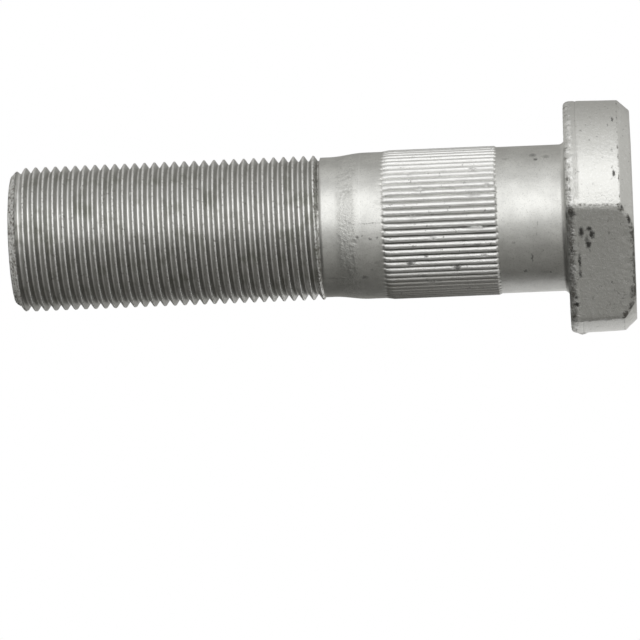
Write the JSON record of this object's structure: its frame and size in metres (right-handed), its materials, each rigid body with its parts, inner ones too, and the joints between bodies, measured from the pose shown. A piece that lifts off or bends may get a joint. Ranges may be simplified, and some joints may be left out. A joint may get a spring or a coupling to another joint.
{
  "type": "press-in threaded stud",
  "caption": "Press-in threaded stud with a round head that has one flat side, a knurled seat and a fine thread.",
  "frame": {"origin": "centre of the head's outer face, on which the stud stands", "axes": "+Z along the stud's axis from the head to the threaded end, -Y towards the head's flat side"},
  "size_m": [0.035, 0.0319, 0.0933],
  "materials": {
    "coated_steel": "satin grey flake coating over forged steel, scuffed on the thread's crests and the head's edges"
  },
  "bodies": {
    "root": {"stud": "coated_steel"}
  },
  "joints": []
}
